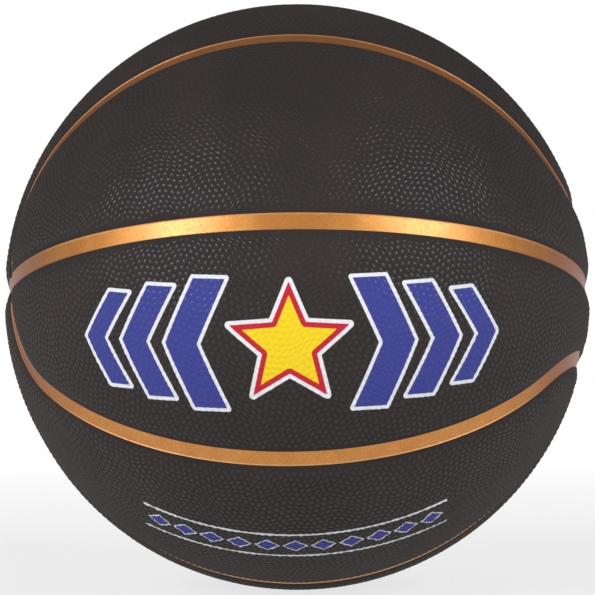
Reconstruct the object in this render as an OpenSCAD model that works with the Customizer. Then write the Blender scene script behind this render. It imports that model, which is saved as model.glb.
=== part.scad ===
// Inflated rubber basketball: eight cover panels and seven channel strips over a
// carcass, a nylon winding and a bladder, with a replaceable valve at the back.
//
// The part stands in its own frame: origin at the centre of the ball, Z up, front
// toward -Y, valve on the +Y axis.
// The channel pattern has a frame of its own, leaned and turned inside that one.
// There the waist channel lies in the XY plane and the upright channel in the XZ
// plane, and the two cross on the X axis.  One curved channel runs round the ball
// in four like runs: each leaves the upright channel near +X in an elbow, follows
// a diagonal, and comes in an elbow to the waist channel near -X.
// The eight panels are one shape, turned and mirrored.

/* [Ball] */
// Outside diameter over the cover panels
ball_d = 240; // [180:1:280]
// Lean of the channel pattern, which lifts the waist channel at the front
lean = 13.9; // [12:0.1:18]
// Turn of the channel pattern about its own upright axis
turn = 1.6; // [0:0.1:20]

/* [Channels] */
// Width of the coloured strip at the bottom of a channel
strip_w = 6.4; // [4:0.1:9]
// Thickness of that strip
strip_t = 0.8; // [0.5:0.1:1.1]
// Depth of a channel, from the cover down to its strip
channel_depth = 2.2; // [1.5:0.1:2.6]
// Height of the straight wall between the strip and the shoulder
channel_wall = 0.5; // [0.4:0.1:0.8]
// Radius of the rounded shoulder along every panel edge
shoulder_r = 20; // [18:0.5:22]
// Angle at the centre of the ball from a main crossing to the middle of an elbow
elbow_offset = 43.5; // [41:0.1:47]

/* [Layers] */
// Thickness of the rubber carcass under the cover
carcass_t = 1; // [0.8:0.1:2]
// Thickness of the nylon winding
winding_t = 0.6; // [0.5:0.1:1.5]
// Thickness of the bladder
bladder_t = 0.7; // [0.5:0.1:1.5]
// Clearance between bonded layers, and beside each strip
bond_gap = 0.1; // [0.05:0.01:0.15]

/* [Valve boot] */
// Diameter of the boot where it passes through the layers
boot_d = 11; // [10.5:0.1:13]
// Depth of the boot's outer face below the cover
boot_recess = 0.5; // [0.3:0.1:1]
// Bevel round the boot's outer face
boot_bevel = 0.5; // [0.2:0.1:0.8]
// Length of the boot from its outer face to its inner end
boot_l = 27; // [24:0.5:32]
// Diameter of the boot's tube inside the bladder
boot_tube_d = 9.4; // [8.5:0.1:10]
// Diameter of the flange that holds the boot to the bladder
flange_d = 30; // [24:0.5:40]
// Thickness of that flange
flange_t = 1.4; // [1:0.1:2]

/* [Valve plug] */
// Diameter of the plug's shaft
plug_d = 6; // [5:0.1:6.5]
// Length of the plug with its head
plug_l = 23; // [20:0.5:23.5]
// Radial clearance of the plug in the boot
plug_fit = 0.05; // [0.02:0.01:0.1]
// Diameter of the plug's head
plug_head_d = 8; // [7.2:0.1:8.4]
// Thickness of the plug's head
plug_head_t = 1.5; // [1:0.1:2.5]
// Bevel on the inner end of the plug
plug_bevel = 0.8; // [0.4:0.1:1.2]
// Depth of the gripping grooves round the plug
grip_depth = 0.4; // [0.2:0.1:0.6]
// Height of each gripping groove
grip_h = 1.6; // [1:0.1:2]
// Distance from one gripping groove to the next
grip_pitch = 4; // [3:0.1:4.5]
// Diameter of the hole for the inflating needle
needle_d = 1.8; // [1.4:0.1:2.2]
// Depth of that hole
needle_depth = 12; // [8:0.5:15]
// Length across the slit that closes below the needle hole
slit_l = 3; // [2:0.1:4]
// Opening of the slit
slit_w = 0.2; // [0.1:0.05:0.4]

/* [Hidden] */
$fn = 144;

// How far every cut runs past the surface that it opens
overrun = 4;
// Rise of the shoulder's arc over the cover, whose own surface trims it
shoulder_lift = 0.3;
// Step where an elbow meets a diagonal, as between two inserts of the mould
join_step = 0.06;
// Angle by which the slimmer of the two runs on inside the wider one
join_past = 0.4;
// Number of gripping grooves on the plug
grip_count = 3;

// Radii of the layers, from the outside in
ball_r = ball_d / 2;
strip_r = ball_r - channel_depth;
cover_in_r = strip_r - strip_t;
carcass_r = cover_in_r - bond_gap;
carcass_in_r = carcass_r - carcass_t;
winding_r = carcass_in_r - bond_gap;
winding_in_r = winding_r - winding_t;
bladder_r = winding_in_r - bond_gap;
bladder_in_r = bladder_r - bladder_t;
flange_r = bladder_in_r - bond_gap;

// Section of the channel: its wall, and the centre of the shoulder's arc, which
// starts at the top of the wall and runs out to the cover
wall_y = strip_w / 2 + bond_gap;
wall_top_r = strip_r + channel_wall;
shoulder_centre_r = ball_r - shoulder_r + shoulder_lift;
shoulder_half = asin(wall_y / wall_top_r) + acos(
    (pow(shoulder_centre_r, 2) + pow(wall_top_r, 2) - pow(shoulder_r, 2))
    / (2 * shoulder_centre_r * wall_top_r)
);
shoulder_x = shoulder_centre_r * cos(shoulder_half);
shoulder_y = shoulder_centre_r * sin(shoulder_half);

// Course of the curved channel: the elbow is the small circle about its middle
// that touches both diagonals
elbow_r = asin(sin(elbow_offset) * sin(45));
elbow_turn = atan2(1, cos(elbow_offset));
diagonal_start = atan2(tan(elbow_offset) * cos(45), 1);
diagonal_turn = 180 - 2 * diagonal_start;
// Angle over which the cuts run on past a main crossing
cut_past = 2 * shoulder_half;
// Angle from an elbow's line to the edge of the region chosen along it, which the
// channel removes
region_inset = asin(wall_y / ball_r) / 2;
// Turn of the sphere's own pole and seam, which keeps them away from the panel
pole_turn = [0, 30, -90];
// Reach of the solids that only choose a region
reach = 2 * ball_r;

// Places along the valve, measured outward from the centre of the ball
valve_face = ball_r - boot_recess;
boot_end = valve_face - boot_l;
plug_end = valve_face - plug_l;
plug_seat = valve_face - plug_head_t;
hole_end = valve_face - needle_depth;
flange_foot = sqrt(pow(flange_r - flange_t, 2) - pow(flange_d / 2, 2));
grip_start = plug_end + plug_bevel + grip_pitch / 2;

// Leans and turns the channel pattern into the frame of the part
module pattern_frame() {
    rotate([-lean, 0, 0])
        rotate([0, 0, -turn])
            children();
}

// Turns the waist into the upright channel, and +X into -X
module swap_ends() {
    rotate(a = 180, v = [0, 1, 1])
        children();
}

// Z through the middle of an elbow, X toward the main crossing
module elbow_frame() {
    rotate([0, 90 - elbow_offset, 0])
        children();
}

// XY plane along the diagonal between the waist and the upright channel
module diagonal_frame() {
    rotate([45, 0, 0])
        children();
}

// XY plane along the upright channel
module upright_frame() {
    rotate([90, 0, 0])
        children();
}

// Z outward along the valve
module valve_frame() {
    rotate([-90, 0, 0])
        children();
}

// Shell between two radii about the centre of the ball
module shell(outer_r, inner_r) {
    difference() {
        sphere(r = outer_r);
        sphere(r = inner_r);
    }
}

// Flat band on both sides of the X axis, from the centre outward
module band_2d(half) {
    translate([0, -half])
        square([reach, 2 * half]);
}

// Section of a channel with its walls and rounded shoulders
module channel_section(widen = 0) {
    difference() {
        intersection() {
            band_2d(shoulder_y + widen);
            circle(r = ball_r + overrun);
        }
        circle(r = shoulder_centre_r);
        difference() {
            for (side = [-1, 1])
                translate([shoulder_x, side * (shoulder_y + widen)])
                    circle(r = shoulder_r);
            band_2d(wall_y + widen);
        }
    }
}

// Section of the space that one strip leaves free for another
module crossing_section() {
    difference() {
        intersection() {
            band_2d(wall_y);
            circle(r = ball_r + overrun);
        }
        circle(r = shoulder_centre_r);
    }
}

// Section of the strip in a channel
module strip_section(slim = 0) {
    difference() {
        intersection() {
            band_2d(strip_w / 2 - slim);
            circle(r = strip_r - slim);
        }
        circle(r = cover_in_r + slim);
    }
}

// Sweeps a section along a circle of the ball, at its polar angle from Z
module sweep(polar, start, angle) {
    rotate([0, 0, start])
        rotate_extrude(angle = angle)
            rotate(90 - polar)
                children();
}

// One elbow of the curved channel, from a start angle to a little past its end
module elbow_sweep(start, past) {
    elbow_frame()
        sweep(elbow_r, start, elbow_turn + past - start)
            children();
}

// The diagonal of the curved channel, run on past both of its ends
module diagonal_sweep(past) {
    diagonal_frame()
        sweep(90, diagonal_start - past, diagonal_turn + 2 * past)
            children();
}

// Region between the waist and the diagonal, on the +Y +Z side
module waist_region() {
    rotate([90, 0, 90])
        translate([0, 0, -reach])
            linear_extrude(2 * reach)
                polygon([[0, 0], [reach, 0], [reach, reach]]);
}

// Corner between the elbow, the diagonal and the main crossing at +X
module corner_region() {
    intersection() {
        rotate([90, 0, 90])
            linear_extrude(reach)
                polygon([[0, 0], [reach, reach], [0, reach]]);
        elbow_frame()
            difference() {
                translate([0, 0, -reach])
                    linear_extrude(2 * reach)
                        polygon([
                            [0, 0],
                            [reach * cos(cut_past), -reach * sin(cut_past)],
                            [reach * cos(elbow_turn), reach * sin(elbow_turn)],
                        ]);
                rotate([0, 0, 180])
                    cylinder(h = reach, r1 = 0, r2 = reach * tan(elbow_r - region_inset));
            }
    }
}

// Region of one panel, whose borders run inside the channels
module panel_region() {
    difference() {
        waist_region();
        swap_ends()
            corner_region();
    }
    corner_region();
}

// Rough panel, cut back from the waist and the upright channel
module panel_blank() {
    difference() {
        intersection() {
            diagonal_frame()
                rotate(pole_turn)
                    shell(ball_r, cover_in_r);
            panel_region();
        }
        sweep(90, -cut_past, 180)
            channel_section();
        upright_frame()
            sweep(90, -cut_past, elbow_offset)
                channel_section();
    }
}

// Cover panel along the waist on the +Y +Z side, cut back from the curved channel
module waist_panel() {
    difference() {
        difference() {
            panel_blank();
            elbow_sweep(-cut_past, join_past)
                channel_section();
            swap_ends()
                elbow_sweep(-cut_past, join_past)
                    channel_section();
        }
        diagonal_sweep(0)
            channel_section(join_step);
    }
}

// Hole through the layers for the valve boot
module boot_hole() {
    valve_frame()
        translate([0, 0, boot_end])
            cylinder(h = boot_l + boot_recess + overrun, r = boot_d / 2 + bond_gap);
}

// The waist panels, mirrored to the back or front, and above or below the waist
module waist_panel_at(flip_y, flip_z) {
    color("#38332f")
        pattern_frame()
            mirror([0, flip_y, 0])
                mirror([0, 0, flip_z])
                    waist_panel();
}

// The crown and base panels are the same shape with its ends swapped
module crown_panel_at(flip_y, flip_z) {
    color("#38332f")
        pattern_frame()
            mirror([0, flip_y, 0])
                mirror([0, 0, flip_z])
                    swap_ends()
                        waist_panel();
}

// The panel that the valve comes through
module valve_panel() {
    color("#38332f")
        difference() {
            waist_panel_at(0, 0);
            boot_hole();
        }
}

// Closed strip round the waist
module waist_strip() {
    color("#c08a1e")
        pattern_frame()
            rotate_extrude()
                strip_section();
}

// Half strip of the upright channel, over the crown or under the base
module upright_strip(flip_z) {
    color("#c08a1e")
        pattern_frame()
            mirror([0, 0, flip_z])
                difference() {
                    upright_frame()
                        sweep(90, 0, 180)
                            strip_section();
                    rotate_extrude()
                        crossing_section();
                }
}

// Strip along one run of the curved channel, from the upright to the waist
module curved_strip(flip_y, flip_z) {
    color("#c08a1e")
        pattern_frame()
            mirror([0, flip_y, 0])
                mirror([0, 0, flip_z])
                    difference() {
                        union() {
                            elbow_sweep(0, 0)
                                strip_section();
                            swap_ends()
                                elbow_sweep(0, 0)
                                    strip_section();
                            diagonal_sweep(join_past)
                                strip_section(join_step);
                        }
                        sweep(90, 90, 90 + elbow_offset)
                            crossing_section();
                        upright_frame()
                            sweep(90, -elbow_offset, 2 * elbow_offset)
                                crossing_section();
                    }
}

// A hollow layer with its hole for the valve
module layer(outer_r, inner_r) {
    difference() {
        shell(outer_r, inner_r);
        boot_hole();
    }
}

module carcass() {
    color("#2a2826")
        layer(carcass_r, carcass_in_r);
}

module nylon_winding() {
    color("#d9d3c3")
        layer(winding_r, winding_in_r);
}

module bladder() {
    color("#1c1c1e")
        layer(bladder_r, bladder_in_r);
}

// Rubber sleeve that holds the plug: stem, flange under the bladder, inner tube
module valve_boot() {
    color("#232120")
        valve_frame()
            difference() {
                union() {
                    translate([0, 0, flange_foot])
                        cylinder(h = valve_face - boot_bevel - flange_foot, r = boot_d / 2);
                    translate([0, 0, valve_face - boot_bevel])
                        cylinder(h = boot_bevel, r1 = boot_d / 2, r2 = boot_d / 2 - boot_bevel);
                    translate([0, 0, boot_end])
                        cylinder(h = boot_l - boot_bevel, r = boot_tube_d / 2);
                    intersection() {
                        shell(flange_r, flange_r - flange_t);
                        cylinder(h = ball_r, r = flange_d / 2);
                    }
                }
                translate([0, 0, boot_end - overrun])
                    cylinder(h = boot_l + 2 * overrun, r = plug_d / 2 + plug_fit);
                translate([0, 0, plug_seat - plug_fit])
                    cylinder(h = plug_head_t + overrun, r = plug_head_d / 2 + plug_fit);
            }
}

// Replaceable plug: head, grooved shaft, needle hole and the slit that seals it
module valve_plug() {
    color("#34302c")
        valve_frame()
            difference() {
                union() {
                    translate([0, 0, plug_seat])
                        cylinder(h = plug_head_t, r = plug_head_d / 2);
                    translate([0, 0, plug_end + plug_bevel])
                        cylinder(h = plug_l - plug_bevel - plug_head_t / 2, r = plug_d / 2);
                    translate([0, 0, plug_end])
                        cylinder(h = plug_bevel, r1 = plug_d / 2 - plug_bevel, r2 = plug_d / 2);
                }
                for (i = [0:grip_count - 1])
                    translate([0, 0, grip_start + i * grip_pitch])
                        difference() {
                            cylinder(h = grip_h, r = plug_d / 2 + overrun);
                            cylinder(h = grip_h, r = plug_d / 2 - grip_depth);
                        }
                translate([0, 0, hole_end])
                    cylinder(h = needle_depth + overrun, r = needle_d / 2);
                translate([-slit_l / 2, -slit_w / 2, plug_end - overrun])
                    cube([slit_l, slit_w, hole_end + slit_w - plug_end + overrun]);
            }
}

waist_panel_at(1, 0);  // panel_front_upper
waist_panel_at(1, 1);  // panel_front_lower
crown_panel_at(1, 0);  // panel_crown_front
crown_panel_at(1, 1);  // panel_base_front
valve_panel();  // panel_back_upper
waist_panel_at(0, 1);  // panel_back_lower
crown_panel_at(0, 0);  // panel_crown_back
crown_panel_at(0, 1);  // panel_base_back
waist_strip();  // channel_waist
upright_strip(0);  // channel_over_crown
upright_strip(1);  // channel_under_base
curved_strip(1, 0);  // channel_front_upper
curved_strip(1, 1);  // channel_front_lower
curved_strip(0, 0);  // channel_back_upper
curved_strip(0, 1);  // channel_back_lower
carcass();
nylon_winding();
bladder();
valve_boot();
valve_plug();
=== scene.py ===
import math

import bpy
import numpy as np
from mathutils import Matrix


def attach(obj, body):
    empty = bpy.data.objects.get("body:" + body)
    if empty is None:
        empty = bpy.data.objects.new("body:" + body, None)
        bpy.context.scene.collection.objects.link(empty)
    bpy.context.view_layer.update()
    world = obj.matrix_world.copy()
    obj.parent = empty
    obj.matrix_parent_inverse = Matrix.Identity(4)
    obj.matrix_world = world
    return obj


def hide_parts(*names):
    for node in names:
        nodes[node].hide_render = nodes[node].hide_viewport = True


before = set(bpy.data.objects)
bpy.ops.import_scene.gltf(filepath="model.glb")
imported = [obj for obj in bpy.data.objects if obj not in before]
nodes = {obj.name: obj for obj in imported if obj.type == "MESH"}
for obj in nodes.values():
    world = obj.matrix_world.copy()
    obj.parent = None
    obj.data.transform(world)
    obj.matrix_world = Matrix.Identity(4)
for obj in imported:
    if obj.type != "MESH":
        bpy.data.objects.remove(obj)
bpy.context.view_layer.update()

MM = 0.001
FULL_TURN = 2 * math.pi

# Sizes of the ball, in millimetres, as the solids have them
BALL_R = 120.0
STRIP_R = 117.8
COVER_IN_R = 117.03
STRIP_HALF = 3.26
STRIP_END = 3.21
WALL_HALF = 3.3
WALL_TOP_R = 118.3
SHOULDER_R = 20.0
SHOULDER_CENTRE_R = 100.3
SHOULDER_ANGLE = math.asin(WALL_HALF / WALL_TOP_R) + math.acos(
    (SHOULDER_CENTRE_R**2 + WALL_TOP_R**2 - SHOULDER_R**2) / (2 * SHOULDER_CENTRE_R * WALL_TOP_R)
)
HOLE_R = 5.6

# Finish that the solids leave out, in millimetres
SHOULDER_BLEND = 0.12
CORNER_BLEND = 0.7
VALVE_DIP = 0.3
VALVE_DIP_WIDE = 1.0
PAINT_RISE = 0.45
THREAD_PITCH = 1.2

# Channel pattern
LEAN = math.radians(-13.9)
TURN = math.radians(-1.6)
ELBOW_OFFSET = math.radians(43.5)
ELBOW_R = math.asin(math.sin(ELBOW_OFFSET) * math.sin(math.radians(45)))
ELBOW_TURN = math.atan2(1, math.cos(ELBOW_OFFSET))
DIAGONAL_START = math.atan2(math.tan(ELBOW_OFFSET) * math.cos(math.radians(45)), 1)

# Pebbles: their spacing, radius and height, and where they fade toward a channel
PEBBLE_PITCH = 2.65
PEBBLE_R = 1.25
PEBBLE_H = 0.3
PEBBLE_VARIES = 0.25
PEBBLE_STEPS = 5
PEBBLE_FADE = (3.9, 5.8)
PEBBLE_GROUND = (3.3, 5.8)
PEBBLE_VALVE_FADE = (8.5, 11.5)

# Waves that bend the rows of pebbles, each with its size, its length and its shift
ACROSS_WAVES = ((2.2, 61.0, 0.4), (1.0, 18.0, 2.1))
ALONG_WAVES = ((2.0, 53.0, 1.3), (0.8, 16.0, 0.2))

# Tilt of a panel's middle line, and the lattice's reach along and across it
PANEL_TILT = math.radians(22.5)
PANEL_LONG = math.radians(91)
PANEL_WIDE = math.radians(24)

# Bands of the bake map for a panel's outer face, its wall and its inner face
UV_OUTER = (0.0, 0.9)
UV_WALL = (0.91, 0.95)
UV_INNER = (0.955, 0.999)

# Generic print, in millimetres: each chevron has its start and its half height
NO_INK = -9.0
CHEVRONS = ((24.0, 25.0), (45.0, 21.5), (64.5, 18.0))
CHEVRON_TALLEST = 25.0
CHEVRON_THICK = 13.5
CHEVRON_SWEEP = 11.0
STAR_R = 24.0
STAR_INNER_SHARE = 0.45
LOZENGE_HALF = 3.3
LOZENGE_STEP = 11.0
LOZENGE_SQUEEZE = 0.75
LOZENGES_EACH_SIDE = 5
LINE_AT = 7.5
LINE_HALF = 0.55
LINE_REACH = 62.0

# Points along the strips
WAIST_STEPS = 960
UPRIGHT_STEPS = 480
ELBOW_STEPS = 50
DIAGONAL_STEPS = 150

# Photograph's width in pixels, and the studio, in metres
PHOTO_WIDTH = 595
CAMERA_AWAY = 1.211
LAMP_HEIGHT = 0.72
LAMP_SIZE = 0.65
FLOOR_Z = -0.12
STAGE_SIDES = 96

# Every panel's name, with its flips toward the front and below, and whether its ends are swapped
PANELS = {
    "panel_front_upper": (-1, 1, False),
    "panel_front_lower": (-1, -1, False),
    "panel_crown_front": (-1, 1, True),
    "panel_base_front": (-1, -1, True),
    "panel_back_upper": (1, 1, False),
    "panel_back_lower": (1, -1, False),
    "panel_crown_back": (1, 1, True),
    "panel_base_back": (1, -1, True),
}


def turn_x(angle):
    c, s = math.cos(angle), math.sin(angle)
    return np.array([[1, 0, 0], [0, c, -s], [0, s, c]])


def turn_y(angle):
    c, s = math.cos(angle), math.sin(angle)
    return np.array([[c, 0, s], [0, 1, 0], [-s, 0, c]])


def turn_z(angle):
    c, s = math.cos(angle), math.sin(angle)
    return np.array([[c, -s, 0], [s, c, 0], [0, 0, 1]])


PATTERN = turn_x(LEAN) @ turn_z(TURN)
SWAP = np.array([[-1, 0, 0], [0, 0, 1], [0, 1, 0]])
ELBOW_FRAME = turn_y(math.radians(90) - ELBOW_OFFSET)
DIAGONAL_FRAME = turn_x(math.radians(45))
UPRIGHT_FRAME = turn_x(math.radians(90))


def placed(flip_y, flip_z, swapped=False):
    """Matrix from the shape's own frame to the frame of the part."""
    matrix = PATTERN @ np.diag([1, flip_y, flip_z])
    return matrix @ SWAP if swapped else matrix


def smoothstep(low, high, x):
    t = np.clip((x - low) / (high - low), 0, 1)
    return t * t * (3 - 2 * t)


def smooth_min(values, blend):
    lowest = np.min(values, axis=0)
    total = sum(np.exp(-(v - lowest) / blend) for v in values)
    return lowest - blend * np.log(total)


def channel_distances(p):
    """Distances of unit vectors from the waist, upright and curved channel, positive in the panel."""
    elbow_axis = ELBOW_FRAME[:, 2]
    join = ELBOW_FRAME @ np.array([
        math.sin(ELBOW_R) * math.cos(ELBOW_TURN),
        math.sin(ELBOW_R) * math.sin(ELBOW_TURN),
        math.cos(ELBOW_R),
    ])
    edge = np.cross(elbow_axis, join)
    near_first = p @ edge < 0
    near_last = (p @ SWAP.T) @ edge < 0
    first = np.sin(np.arccos(np.clip(p @ elbow_axis, -1, 1)) - ELBOW_R)
    last = np.sin(ELBOW_R - np.arccos(np.clip(p @ (SWAP @ elbow_axis), -1, 1)))
    middle = (p[:, 1] - p[:, 2]) / math.sqrt(2)
    curved = np.where(near_first, first, np.where(near_last, last, middle))
    return BALL_R * p[:, 2], BALL_R * p[:, 1], BALL_R * curved


def shoulder(distance):
    """Radius of the cover at a distance from the middle of a channel."""
    angle = SHOULDER_ANGLE - np.arcsin(np.clip(distance / BALL_R, 0, 1))
    angle = np.clip(angle, 0, SHOULDER_ANGLE)
    rise = np.sqrt(SHOULDER_R**2 - (SHOULDER_CENTRE_R * np.sin(angle)) ** 2)
    return SHOULDER_CENTRE_R * np.cos(angle) + rise


def on_panel(u, v):
    """Unit vectors in the panel's own frame, from lengths along it and across it."""
    length, width = u / BALL_R, v / BALL_R
    c, s = math.cos(PANEL_TILT), math.sin(PANEL_TILT)
    middle = np.array([0, c, s])
    across = np.array([0, -s, c])
    along = np.array([-1, 0, 0])
    flat = np.cos(width)[:, None]
    return (
        flat * (np.cos(length)[:, None] * middle + np.sin(length)[:, None] * along)
        + np.sin(width)[:, None] * across
    )


def place_on_panel(p):
    """Lengths along and across the panel of unit vectors in its own frame."""
    c, s = math.cos(PANEL_TILT), math.sin(PANEL_TILT)
    v = np.arcsin(np.clip(p @ np.array([0, -s, c]), -1, 1))
    u = np.arctan2(-p[:, 0], p @ np.array([0, c, s]))
    return BALL_R * u, BALL_R * v


def lattice(steps):
    """Triangular lattice over a panel's surroundings, as places, distances from pebbles and triangles."""
    pitch = PEBBLE_PITCH / steps
    rows = int(BALL_R * PANEL_WIDE / (pitch * math.sqrt(3) / 2)) // steps * steps
    columns = int(BALL_R * PANEL_LONG / pitch) // steps * steps
    j, c = np.meshgrid(np.arange(-rows, rows + 1), np.arange(-columns, columns + 1), indexing="ij")
    i = c - j // 2
    x = pitch * (i + j / 2)
    y = pitch * math.sqrt(3) / 2 * j
    cell_i, cell_j = i // steps, j // steps
    nearest = np.full(x.shape, np.inf)
    varied = np.zeros(x.shape)
    for step_i in (0, 1):
        for step_j in (0, 1):
            centre_i, centre_j = cell_i + step_i, cell_j + step_j
            dx = x - PEBBLE_PITCH * (centre_i + centre_j / 2)
            dy = y - PEBBLE_PITCH * math.sqrt(3) / 2 * centre_j
            away = np.hypot(dx, dy)
            # A fixed draw for each pebble, from its place in the lattice
            draw = np.modf(np.sin(centre_i * 12.9898 + centre_j * 78.233) * 43758.5453)[0]
            varied = np.where(away < nearest, np.abs(draw), varied)
            nearest = np.minimum(nearest, away)
    index = np.arange(x.size).reshape(x.shape)
    a, b = index[:-1, :-1], index[:-1, 1:]
    d, e = index[1:, :-1], index[1:, 1:]
    odd = (j[:-1, :-1] % 2 == 1)
    one = np.where(odd[..., None], np.stack([a, b, e], -1), np.stack([a, b, d], -1))
    two = np.where(odd[..., None], np.stack([a, e, d], -1), np.stack([b, e, d], -1))
    triangles = np.concatenate([one.reshape(-1, 3), two.reshape(-1, 3)])
    return x.ravel(), y.ravel(), nearest.ravel(), varied.ravel(), triangles


def from_valve(world):
    """Distances of unit vectors from the valve's axis, with the front half put far off."""
    return BALL_R * np.hypot(world[:, 0], world[:, 2]) + (world[:, 1] < 0) * BALL_R


def inside(p, matrix, has_hole):
    """How far inside the panel's edge unit vectors lie, with its corners a little rounded."""
    half = BALL_R * WALL_HALF / WALL_TOP_R
    edge = smooth_min([d - half for d in channel_distances(p)], CORNER_BLEND)
    if has_hole:
        edge = np.minimum(edge, from_valve(p @ matrix.T) - HOLE_R)
    return edge


def sides_of(triangles):
    return np.concatenate([triangles[:, [0, 1]], triangles[:, [1, 2]], triangles[:, [2, 0]]])


def snapped(p, triangles, matrix, has_hole, pitch):
    """Moves the points beside the panel's edge onto it, and keeps the triangles inside."""
    value = inside(p, matrix, has_hole)
    close = np.abs(value) < 2 * pitch
    touched = close[triangles].any(1)
    a, b = sides_of(triangles[touched]).T
    cross = (value[a] > 0) != (value[b] > 0)
    a, b = a[cross], b[cross]
    nearer = np.where(np.abs(value[a]) < np.abs(value[b]), a, b)
    moved = np.unique(nearer)
    q = p[moved].copy()
    tiny = 1e-5
    for _ in range(6):
        here = inside(q, matrix, has_hole)
        slope = np.zeros_like(q)
        for axis in range(3):
            probe = q.copy()
            probe[:, axis] += tiny
            slope[:, axis] = (inside(probe, matrix, has_hole) - here) / tiny
        slope -= (slope * q).sum(1)[:, None] * q
        q -= (here / np.maximum((slope**2).sum(1), 1e-6))[:, None] * slope
        q /= np.linalg.norm(q, axis=1)[:, None]
    p = p.copy()
    p[moved] = q
    value[moved] = 0
    corners = value[triangles]
    kept = (corners >= 0).all(1) & (corners.max(1) > 0)
    return p, triangles[kept]


def compact(triangles, *arrays):
    """Drops the points that no triangle uses."""
    used, index = np.unique(triangles, return_inverse=True)
    return (index.reshape(-1, 3), *(a[used] for a in arrays))


def rim(triangles):
    """Directed sides that belong to one triangle only."""
    sides = sides_of(triangles)
    key = np.sort(sides, axis=1)
    _, first, count = np.unique(key, axis=0, return_index=True, return_counts=True)
    return sides[first[count == 1]]


def make_object(name, vertices, triangles, uv, material, numbers=None):
    """Mesh object from arrays in millimetres, with one bake map and named numbers on its points."""
    mesh = bpy.data.meshes.new(name)
    mesh.vertices.add(len(vertices))
    mesh.vertices.foreach_set("co", (vertices * MM).astype(np.float32).ravel())
    mesh.loops.add(triangles.size)
    mesh.loops.foreach_set("vertex_index", triangles.astype(np.int32).ravel())
    mesh.polygons.add(len(triangles))
    mesh.polygons.foreach_set("loop_start", np.arange(0, triangles.size, 3, dtype=np.int32))
    mesh.update(calc_edges=True)
    layer = mesh.uv_layers.new(name="OFBake")
    layer.uv.foreach_set("vector", uv[triangles.ravel()].astype(np.float32).ravel())
    for key, values in (numbers or {}).items():
        attribute = mesh.attributes.new(key, "FLOAT", "POINT")
        attribute.data.foreach_set("value", values.astype(np.float32))
    mesh.materials.append(material)
    made = bpy.data.objects.new(name, mesh)
    bpy.context.scene.collection.objects.link(made)
    return made


def waved(along, waves):
    """Sideways shift of a row of pebbles at places along it."""
    return sum(size * np.sin(along * (FULL_TURN / wide) + shift) for size, wide, shift in waves)


def make_panel(name, material, marks=None):
    """Pebbled cover panel with rounded shoulders, its wall and its inner face."""
    matrix = placed(*PANELS[name])
    mirrored = np.linalg.det(matrix) < 0
    has_hole = name == "panel_back_upper"

    def sheet(steps):
        x, y, nearest, varied, triangles = lattice(steps)
        p = on_panel(x + waved(y, ALONG_WAVES), y + waved(x, ACROSS_WAVES))
        p, triangles = snapped(p, triangles, matrix, has_hole, PEBBLE_PITCH / steps)
        return compact(triangles, p, nearest, varied)

    triangles, p, nearest, varied = sheet(PEBBLE_STEPS)
    distances = channel_distances(p)
    closest = np.min(distances, axis=0)
    base = smooth_min([shoulder(d) for d in distances] + [np.full(len(p), BALL_R)], SHOULDER_BLEND)
    base = base - PEBBLE_H * smoothstep(*PEBBLE_GROUND, closest)
    world = p @ matrix.T
    fade = smoothstep(*PEBBLE_FADE, closest)
    if has_hole:
        off = from_valve(world)
        fade = fade * smoothstep(*PEBBLE_VALVE_FADE, off)
        base = base - VALVE_DIP * (1 - smoothstep(HOLE_R, HOLE_R + VALVE_DIP_WIDE, off))
    dome = smoothstep(0, 1, 1 - (nearest / PEBBLE_R) ** 2) * fade * (1 - PEBBLE_VARIES * varied)
    outer = world * (base + PEBBLE_H * dome)[:, None]
    u, v = place_on_panel(p)

    edge = rim(triangles)
    loop, index = np.unique(edge, return_inverse=True)
    index = index.reshape(-1, 2)
    count, rim_count = len(outer), len(loop)
    top, bottom = count + index, count + rim_count + index
    walls = np.concatenate([
        np.stack([top[:, 1], top[:, 0], bottom[:, 0]], -1),
        np.stack([top[:, 1], bottom[:, 0], bottom[:, 1]], -1),
    ])
    wall_top = outer[loop]
    wall_bottom = world[loop] * COVER_IN_R

    inner_triangles, inner_p, _, _ = sheet(1)
    inner = (inner_p @ matrix.T) * COVER_IN_R
    inner_u, inner_v = place_on_panel(inner_p)
    inner_triangles = inner_triangles[:, ::-1] + count + 2 * rim_count

    vertices = np.concatenate([outer, wall_top, wall_bottom, inner])
    all_triangles = np.concatenate([triangles, walls, inner_triangles])
    if mirrored:
        all_triangles = all_triangles[:, ::-1]

    def spread(a, b, low, high):
        across = (b / (BALL_R * PANEL_WIDE) + 1) / 2
        return np.stack([(a / (BALL_R * PANEL_LONG) + 1) / 2, low + (high - low) * across], -1)

    uv = np.concatenate([
        spread(u, v, *UV_OUTER),
        spread(u[loop], v[loop], *UV_WALL),
        spread(u[loop], v[loop], *UV_WALL),
        spread(inner_u, inner_v, *UV_INNER),
    ])
    hidden = np.zeros(2 * rim_count + len(inner))
    numbers = {"pebble": np.concatenate([dome, hidden]), "edge": np.concatenate([closest, hidden])}
    if marks:
        for key, values in marks(u, v).items():
            numbers[key] = np.concatenate([values, np.full(len(hidden), NO_INK)])
    made = make_object("cover_" + name, vertices, all_triangles, uv, material, numbers)
    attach(made, "ball")
    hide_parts(name)
    return made


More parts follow.
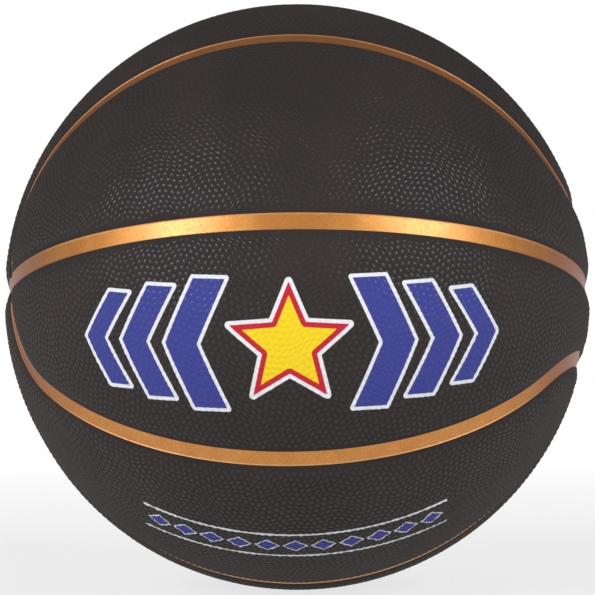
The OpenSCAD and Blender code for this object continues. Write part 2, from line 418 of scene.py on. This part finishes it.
def polygon_depth(x, y, corners):
    """Depth of points inside a polygon, negative outside."""
    corners = np.asarray(corners, float)
    best = np.full(len(x), np.inf)
    odd = np.zeros(len(x), bool)
    for (ax, ay), (bx, by) in zip(corners, np.roll(corners, -1, axis=0)):
        ex, ey = bx - ax, by - ay
        t = np.clip(((x - ax) * ex + (y - ay) * ey) / (ex * ex + ey * ey), 0, 1)
        best = np.minimum(best, np.hypot(x - ax - t * ex, y - ay - t * ey))
        level = (ay > y) != (by > y)
        with np.errstate(divide="ignore", invalid="ignore"):
            left = x < (bx - ax) * (y - ay) / (by - ay) + ax
        odd ^= level & left
    return np.where(odd, best, -best)


def chevron(x, half, thick, sweep, side):
    """Corners of a chevron that points to one side."""
    return [
        (side * x, -half),
        (side * (x + thick), -half),
        (side * (x + thick + sweep), 0),
        (side * (x + thick), half),
        (side * x, half),
        (side * (x + sweep), 0),
    ]


def star(radius, inner_share):
    """Corners of a five-pointed star that stands on two points."""
    corners = []
    for k in range(10):
        reach = radius if k % 2 == 0 else radius * inner_share
        turn = math.pi / 2 + k * math.pi / 5
        corners.append((reach * math.cos(turn), reach * math.sin(turn)))
    return corners


def border(depth, reach_out, reach_in):
    """Ink of a line along a shape's border, which reaches a little out of it and into it."""
    return np.minimum(depth + reach_out, reach_in - depth)


def front_marks(u, v):
    """Generic print of the big front panel: a star between chevrons that point outward."""
    x, y = -u, -v
    blue = np.full(len(x), NO_INK)
    white = blue.copy()
    for side in (-1, 1):
        for start, half in CHEVRONS:
            thick = CHEVRON_THICK * half / CHEVRON_TALLEST
            depth = polygon_depth(x, y, chevron(start, half, thick, CHEVRON_SWEEP, side))
            blue = np.maximum(blue, depth)
            white = np.maximum(white, border(depth, 1.1, 0.3))
    depth = polygon_depth(x, y, star(STAR_R, STAR_INNER_SHARE))
    return {
        "ink_blue": blue,
        "ink_white": np.maximum(white, border(depth, 1.5, 0.0)),
        "ink_yellow": np.maximum(NO_INK, depth - 1.6),
        "ink_red": np.maximum(NO_INK, border(depth, 0.4, 2.0)),
    }


def base_marks(u, v):
    """Generic print of the lower front panel: two thin lines with a row of small lozenges."""
    lines = np.minimum(LINE_HALF - np.abs(np.abs(v) - LINE_AT), LINE_REACH - np.abs(u))
    place = np.clip(np.round(u / LOZENGE_STEP), -LOZENGES_EACH_SIDE, LOZENGES_EACH_SIDE)
    lozenge = LOZENGE_HALF - (np.abs(u - place * LOZENGE_STEP) * LOZENGE_SQUEEZE + np.abs(v))
    none = np.full(len(u), NO_INK)
    return {
        "ink_blue": lozenge,
        "ink_white": np.maximum(lines, border(lozenge, 0.6, 0.1)),
        "ink_yellow": none,
        "ink_red": none,
    }


class Shader:
    """A material with one Principled shader, and short calls for the nodes that feed it."""

    def __init__(self, name):
        self.material = bpy.data.materials.new(name)
        self.material.use_nodes = True
        self.tree = self.material.node_tree
        self.tree.nodes.clear()
        self.output = self.tree.nodes.new("ShaderNodeOutputMaterial")
        self.main = self.tree.nodes.new("ShaderNodeBsdfPrincipled")
        self.tree.links.new(self.main.outputs["BSDF"], self.output.inputs["Surface"])
        coordinates = self.tree.nodes.new("ShaderNodeTexCoord")
        self.place = coordinates.outputs["Object"]

    def set(self, **values):
        for key, value in values.items():
            self.feed(self.main.inputs[key.replace("_", " ")], value)

    def feed(self, socket, value):
        if isinstance(value, bpy.types.NodeSocket):
            self.tree.links.new(value, socket)
        else:
            socket.default_value = value

    def noise(self, size, detail, rough=0.5):
        node = self.tree.nodes.new("ShaderNodeTexNoise")
        node.inputs["Scale"].default_value = 1 / (size * MM)
        node.inputs["Detail"].default_value = detail
        node.inputs["Roughness"].default_value = rough
        self.tree.links.new(self.place, node.inputs["Vector"])
        return node.outputs["Fac"]

    def ramp(self, value, low, high, to_low=0.0, to_high=1.0):
        node = self.tree.nodes.new("ShaderNodeMapRange")
        for key, number in (("From Min", low), ("From Max", high), ("To Min", to_low), ("To Max", to_high)):
            node.inputs[key].default_value = number
        self.tree.links.new(value, node.inputs["Value"])
        return node.outputs["Result"]

    def mix(self, share, first, second):
        node = self.tree.nodes.new("ShaderNodeMix")
        node.data_type = "RGBA"
        self.feed(node.inputs[0], share)
        self.feed(node.inputs[6], first)
        self.feed(node.inputs[7], second)
        return node.outputs[2]

    def maths(self, operation, first, second):
        node = self.tree.nodes.new("ShaderNodeMath")
        node.operation = operation
        self.feed(node.inputs[0], first)
        self.feed(node.inputs[1], second)
        return node.outputs[0]

    def number(self, name):
        node = self.tree.nodes.new("ShaderNodeAttribute")
        node.attribute_name = name
        return node.outputs["Fac"]

    def facing(self, low, high):
        """Share for gloss, 1 on a surface seen straight on and 0 on one seen at a flat angle."""
        node = self.tree.nodes.new("ShaderNodeLayerWeight")
        node.inputs["Blend"].default_value = 0.5
        return self.ramp(node.outputs["Facing"], low, high, 1.0, 0.0)

    def bump(self, height, distance, strength=1.0):
        node = self.tree.nodes.new("ShaderNodeBump")
        node.inputs["Distance"].default_value = distance * MM
        node.inputs["Strength"].default_value = strength
        self.tree.links.new(height, node.inputs["Height"])
        return node.outputs["Normal"]


def colour(red, green, blue):
    """Linear colour from the 0 to 255 numbers of a display."""
    channels = []
    for c in (red / 255, green / 255, blue / 255):
        channels.append(c / 12.92 if c <= 0.04045 else ((c + 0.055) / 1.055) ** 2.4)
    return (*channels, 1.0)


def cover_rubber(name, printed):
    """Charcoal rubber with fine grain and slightly polished pebbles, whose tops carry a little wear and a
    painted highlight, with or without print.
    """
    shader = Shader(name)
    cloud = shader.noise(34.0, 3.0)
    base = shader.mix(shader.ramp(cloud, 0.35, 0.65), colour(42, 37, 32), colour(48, 41, 36))
    polish_and_painted_highlight = shader.number("pebble")
    # Pebble tops lighter and bluer: partly wear, partly a painted highlight
    base = shader.mix(shader.ramp(polish_and_painted_highlight, 0.3, 1.0, 0.0, 0.15), base, colour(90, 82, 84))
    grain = shader.noise(0.35, 2.0, 0.6)
    gloss = shader.maths("MULTIPLY", shader.ramp(polish_and_painted_highlight, 0.2, 0.7), shader.facing(0.35, 0.75))
    rough = shader.maths(
        "SUBTRACT", shader.ramp(grain, 0.3, 0.7, 0.7, 0.8), shader.maths("MULTIPLY", gloss, 0.5)
    )
    if printed:
        for key, ink in (
            ("ink_blue", colour(62, 68, 148)),
            ("ink_yellow", colour(250, 218, 30)),
            ("ink_red", colour(202, 34, 52)),
            ("ink_white", colour(238, 240, 244)),
        ):
            mask = shader.ramp(shader.number(key), -0.12, 0.12)
            base = shader.mix(mask, base, ink)
    # Dark reddish brown on the panel's walls and along its edge at the channels: a thin paint stain,
    # darkened as painted shade at the channel's rim
    base = shader.mix(shader.ramp(shader.number("edge"), 3.4, 4.0, 0.6, 0.0), base, colour(44, 30, 22))
    shader.set(Base_Color=base, Roughness=rough)
    shader.set(Specular_IOR_Level=0.3, Specular_Tint=(0.82, 0.84, 1.0, 1.0))
    shader.set(Normal=shader.bump(grain, 0.03, 0.6))
    return shader.material


def channel_paint(name, shade_share):
    """Gold paint with fine flake, lighter edges that are a painted highlight, and browner colour as painted
    shade, by a given share and near the crossings.
    """
    shader = Shader(name)
    flake = shader.noise(0.7, 3.0, 0.7)
    cloud = shader.noise(7.0, 4.0, 0.6)
    base = shader.mix(shader.ramp(cloud, 0.3, 0.7), colour(208, 138, 66), colour(222, 158, 80))
    base = shader.mix(shader.ramp(flake, 0.35, 0.7, 0.0, 0.6), base, colour(176, 108, 50))
    climb = shader.number("climb")
    # Pale cream where the paint climbs the walls: a painted highlight along the strip's edges
    base = shader.mix(shader.ramp(climb, 0.02, 0.3, 0.0, 0.6), base, colour(236, 196, 150))
    # Browner toward the main crossings, and by a given share all along: painted shade where the gold
    # reflects less light
    painted_shade = shader.ramp(shader.number("crossing"), 60.0, 98.0, 0.7, shade_share)
    base = shader.mix(painted_shade, base, colour(140, 84, 50))
    shader.set(Base_Color=base, Metallic=0.7, Specular_Tint=(0.2, 0.14, 0.1, 1.0))
    shader.set(Coat_Weight=0.5, Coat_Roughness=0.32)
    shader.set(Roughness=shader.ramp(flake, 0.3, 0.7, 0.38, 0.52))
    shader.set(Normal=shader.bump(flake, 0.06, 0.7))
    return shader.material


def plain_rubber(name, tint, rough_low, rough_high):
    """Moulded rubber with a fine grain."""
    shader = Shader(name)
    grain = shader.noise(0.5, 3.0, 0.6)
    cloud = shader.noise(9.0, 2.0)
    darker = tuple(0.75 * c for c in tint[:3]) + (1.0,)
    shader.set(Base_Color=shader.mix(shader.ramp(cloud, 0.3, 0.7), darker, tint))
    shader.set(Roughness=shader.ramp(grain, 0.3, 0.7, rough_low, rough_high))
    shader.set(Normal=shader.bump(grain, 0.04, 0.5))
    return shader.material


def wound_thread():
    """Cream nylon thread wound in crossing runs and set in darker latex."""
    shader = Shader("nylon_thread")
    runs = []
    for direction in ("X", "Z"):
        node = shader.tree.nodes.new("ShaderNodeTexWave")
        node.bands_direction = direction
        node.inputs["Scale"].default_value = FULL_TURN / (20 * THREAD_PITCH * MM)
        node.inputs["Distortion"].default_value = 1.5
        shader.tree.links.new(shader.place, node.inputs["Vector"])
        runs.append(node.outputs["Fac"])
    thread = shader.maths("MAXIMUM", *runs)
    latex, nylon = colour(150, 138, 112), colour(222, 214, 198)
    shader.set(Base_Color=shader.mix(shader.ramp(thread, 0.2, 0.8), latex, nylon))
    shader.set(Roughness=shader.ramp(thread, 0.2, 0.8, 0.7, 0.45))
    shader.set(Normal=shader.bump(thread, 0.15))
    return shader.material


def ribbon_section(lips):
    """Across-channel places and radii round the section of a strip, for each share of its lips."""
    side = STRIP_HALF - np.array([0.0, 0.01, 0.03, 0.07, 0.14, 0.26, 0.45, 0.75, 1.2, 1.9, 2.6])
    lip = np.array([1.0, 0.8, 0.6, 0.42, 0.26, 0.14, 0.06, 0.02, 0.0, 0.0, 0.0])
    across = np.concatenate([-side, [0.0], side[::-1]])
    rise = PAINT_RISE * np.concatenate([lip, [0.0], lip[::-1]])
    radii = STRIP_R + np.outer(lips, rise)
    y = np.concatenate([across, [STRIP_HALF, -STRIP_HALF]])
    underside = np.full((len(lips), 2), COVER_IN_R)
    return y, np.concatenate([radii, underside], axis=1)


def ribbon_points(frame_matrix, polar, start, stop, steps, sign=1, lips=None):
    """Points of a strip swept about a frame's axis; start and stop hold one angle for each place across."""
    share = np.linspace(0, 1, steps)
    lips = np.ones(steps) if lips is None else lips
    y, radii = ribbon_section(lips)
    y = sign * y
    x = np.sqrt(radii**2 - y**2)
    tilt = math.pi / 2 - polar
    out = x * math.cos(tilt) - y * math.sin(tilt)
    up = x * math.sin(tilt) + y * math.cos(tilt)
    angle = start(out) * (1 - share[:, None]) + stop(out) * share[:, None]
    local = np.stack([out * np.cos(angle), out * np.sin(angle), up], -1)
    return local @ frame_matrix.T


def fixed(angle):
    """End of a strip at one angle."""
    return lambda out: np.full(out.shape, angle)


def foot(out):
    """End of a strip that butts on the side of another, at the first end of its sweep."""
    return np.arcsin(STRIP_END / out)


def far_foot(out):
    """The same at the last end of half a turn."""
    return math.pi - foot(out)


def grid_triangles(rows, columns, closed_rows):
    """Triangles of a grid whose rows are closed loops, with caps where its ends are open."""
    index = np.arange(rows * columns).reshape(rows, columns)
    below = np.roll(index, -1, axis=0) if closed_rows else index[1:]
    here = index if closed_rows else index[:-1]
    right, below_right = np.roll(here, -1, axis=1), np.roll(below, -1, axis=1)
    parts = [
        np.stack([here, right, below_right], -1).reshape(-1, 3),
        np.stack([here, below_right, below], -1).reshape(-1, 3),
    ]
    if not closed_rows:
        for row, flip in ((index[0], True), (index[-1], False)):
            fan = np.stack([np.full(columns - 2, row[-1]), row[:-2], row[1:-1]], -1)
            parts.append(fan[:, ::-1] if flip else fan)
    return np.concatenate(parts)


def make_ribbon(name, points, matrix, closed, material):
    """One strip from its grid of points."""
    rows, columns = points.shape[:2]
    vertices = points.reshape(-1, 3) @ matrix.T
    triangles = grid_triangles(rows, columns, closed)
    a, b, c = (vertices[triangles[:, k]] for k in range(3))
    volume = np.einsum("ij,ij->i", a, np.cross(b, c)).sum()
    if volume < 0:
        triangles = triangles[:, ::-1]
    row, column = np.divmod(np.arange(rows * columns), columns)
    uv = np.stack([row / rows, column / columns], -1)
    climb = np.clip((np.linalg.norm(vertices, axis=1) - STRIP_R) / PAINT_RISE, 0, 1)
    end = BALL_R * matrix[:, 0]
    crossing = np.minimum(*(np.linalg.norm(vertices - place, axis=1) for place in (end, -end)))
    numbers = {"climb": climb, "crossing": crossing}
    made = make_object("strip_" + name, vertices, triangles, uv, material, numbers)
    made.data.set_sharp_from_angle(angle=math.radians(50))
    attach(made, "ball")
    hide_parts(name)
    return made


def curved_run():
    """Points of one curved strip, from the upright channel to the waist, in its own frame."""
    turn = fixed(ELBOW_TURN)
    lips = smoothstep(0.04, 0.12, np.linspace(0, 1, ELBOW_STEPS))
    first = ribbon_points(ELBOW_FRAME, ELBOW_R, foot, turn, ELBOW_STEPS, lips=lips)
    last = ribbon_points(ELBOW_FRAME, ELBOW_R, foot, turn, ELBOW_STEPS, sign=-1, lips=lips)
    last = (last @ SWAP.T)[::-1]
    start, stop = fixed(DIAGONAL_START), fixed(math.pi - DIAGONAL_START)
    middle = ribbon_points(DIAGONAL_FRAME, math.pi / 2, start, stop, DIAGONAL_STEPS)
    return np.concatenate([first, middle[1:-1], last])


# Camera
camera_data = bpy.data.cameras.new("camera")
camera_data.sensor_width = 36.0
camera_data.lens = 178.1
camera_data.shift_x = 0.1 / PHOTO_WIDTH
camera_data.shift_y = -0.5 / PHOTO_WIDTH
camera = bpy.data.objects.new("camera", camera_data)
camera.location = (0.0, -CAMERA_AWAY, 0.0)
camera.rotation_euler = (math.radians(90), math.radians(0.28), 0.0)
bpy.context.scene.collection.objects.link(camera)
bpy.context.scene.camera = camera

# Cover
plain_cover = cover_rubber("cover_rubber", False)
printed_cover = cover_rubber("cover_rubber_printed", True)
for panel in PANELS:
    marks = {"panel_front_lower": front_marks, "panel_base_front": base_marks}.get(panel)
    make_panel(panel, printed_cover if marks else plain_cover, marks)

# Strips
gold = channel_paint("channel_paint", 0.0)
# The front upper strip is browner all along: painted shade
shaded_gold = channel_paint("channel_paint_shaded", 0.5)
junction = ELBOW_OFFSET - ELBOW_R


def lips_along(angles, crossings):
    """Share of the paint's climb up the walls, which other channels interrupt."""
    share = np.ones(len(angles))
    for crossing in crossings:
        away = np.abs((angles - crossing + math.pi) % FULL_TURN - math.pi)
        share = share * smoothstep(math.radians(1.7), math.radians(3.3), away)
    return share


angles = np.arange(WAIST_STEPS) * FULL_TURN / WAIST_STEPS
lips = lips_along(angles, (0.0, math.pi - junction, math.pi, math.pi + junction))
last_angle = fixed(angles[-1])
waist = ribbon_points(np.eye(3), math.pi / 2, fixed(0.0), last_angle, WAIST_STEPS, lips=lips)
make_ribbon("channel_waist", waist, placed(1, 1), True, gold)
lips = lips_along(np.linspace(0, math.pi, UPRIGHT_STEPS), (0.0, junction, math.pi))
upright = ribbon_points(UPRIGHT_FRAME, math.pi / 2, foot, far_foot, UPRIGHT_STEPS, lips=lips)
make_ribbon("channel_over_crown", upright, placed(1, 1), False, gold)
make_ribbon("channel_under_base", upright, placed(1, -1), False, gold)
run = curved_run()
make_ribbon("channel_front_upper", run, placed(-1, 1), False, shaded_gold)
make_ribbon("channel_front_lower", run, placed(-1, -1), False, gold)
make_ribbon("channel_back_upper", run, placed(1, 1), False, gold)
make_ribbon("channel_back_lower", run, placed(1, -1), False, gold)


def dress(node, material):
    mesh = nodes[node].data
    mesh.materials.clear()
    mesh.materials.append(material)


dress("carcass", plain_rubber("carcass_rubber", colour(40, 38, 37), 0.6, 0.75))
dress("bladder", plain_rubber("butyl", colour(30, 30, 33), 0.35, 0.5))
dress("nylon_winding", wound_thread())
dress("valve_boot", plain_rubber("boot_rubber", colour(44, 40, 38), 0.5, 0.62))
dress("valve_plug", plain_rubber("plug_rubber", colour(58, 52, 49), 0.45, 0.6))

# Floor and low backdrop all round, seen as white, with the ball's shadow left on the floor
ring = np.linspace(0, FULL_TURN, STAGE_SIDES, endpoint=False)
stage_rows = [(0.4, FLOOR_Z), (1.0, FLOOR_Z), (5.5, FLOOR_Z), (5.9, -0.05), (6.0, 0.1), (6.0, 1.0)]
stage_vertices = [(0.0, 0.0, FLOOR_Z)]
for radius, height in stage_rows:
    stage_vertices += [(radius * math.cos(a), radius * math.sin(a), height) for a in ring]
stage_faces = [(0, 1 + k, 1 + (k + 1) % STAGE_SIDES) for k in range(STAGE_SIDES)]
for row in range(len(stage_rows) - 1):
    first = 1 + row * STAGE_SIDES
    for k in range(STAGE_SIDES):
        here, after = first + k, first + (k + 1) % STAGE_SIDES
        stage_faces.append((here, here + STAGE_SIDES, after + STAGE_SIDES, after))
floor_mesh = bpy.data.meshes.new("floor")
floor_mesh.from_pydata(stage_vertices, [], stage_faces)
floor = bpy.data.objects.new("floor", floor_mesh)
bpy.context.scene.collection.objects.link(floor)
floor_shader = Shader("floor")
floor_shader.set(Base_Color=(0.85, 0.85, 0.85, 1.0), Roughness=0.9)
path = floor_shader.tree.nodes.new("ShaderNodeLightPath")
rays = floor_shader.maths("ADD", path.outputs["Is Camera Ray"], path.outputs["Is Glossy Ray"])
rays = floor_shader.maths("ADD", rays, path.outputs["Is Transmission Ray"])
rays = floor_shader.maths("MINIMUM", rays, 1.0)
length = floor_shader.tree.nodes.new("ShaderNodeVectorMath")
length.operation = "LENGTH"
floor_shader.tree.links.new(floor_shader.place, length.inputs[0])
white_share = floor_shader.ramp(length.outputs["Value"], 0.3, 0.9, 0.75, 1.0)
white = floor_shader.tree.nodes.new("ShaderNodeEmission")
white.inputs["Color"].default_value = (1.0, 1.0, 1.0, 1.0)
white.inputs["Strength"].default_value = 1.0
mixer = floor_shader.tree.nodes.new("ShaderNodeMixShader")
floor_shader.feed(mixer.inputs["Fac"], floor_shader.maths("MULTIPLY", rays, white_share))
floor_shader.feed(mixer.inputs[1], floor_shader.main.outputs["BSDF"])
floor_shader.feed(mixer.inputs[2], white.outputs["Emission"])
floor_shader.feed(floor_shader.output.inputs["Surface"], mixer.outputs["Shader"])
floor_mesh.materials.append(floor_shader.material)


def softbox(name, place, watts):
    """Square area light that faces the ball."""
    light = bpy.data.lights.new(name, "AREA")
    light.shape = "SQUARE"
    light.size = LAMP_SIZE
    light.energy = watts
    lamp = bpy.data.objects.new(name, light)
    lamp.location = place
    direction = -np.array(place) / np.linalg.norm(place)
    lamp.rotation_euler = (
        math.acos(-direction[2]),
        0.0,
        math.atan2(direction[1], direction[0]) - math.pi / 2,
    )
    bpy.context.scene.collection.objects.link(lamp)


softbox("softbox_left", (-1.12, -0.96, LAMP_HEIGHT), 15.5)
softbox("softbox_right", (1.15, -0.9, LAMP_HEIGHT), 13.0)

world = bpy.data.worlds.new("studio")
bpy.context.scene.world = world
world.use_nodes = True
background = world.node_tree.nodes["Background"]
background.inputs["Color"].default_value = (1.0, 1.0, 1.0, 1.0)
background.inputs["Strength"].default_value = 0.22

bpy.context.scene.view_settings.view_transform = "Standard"
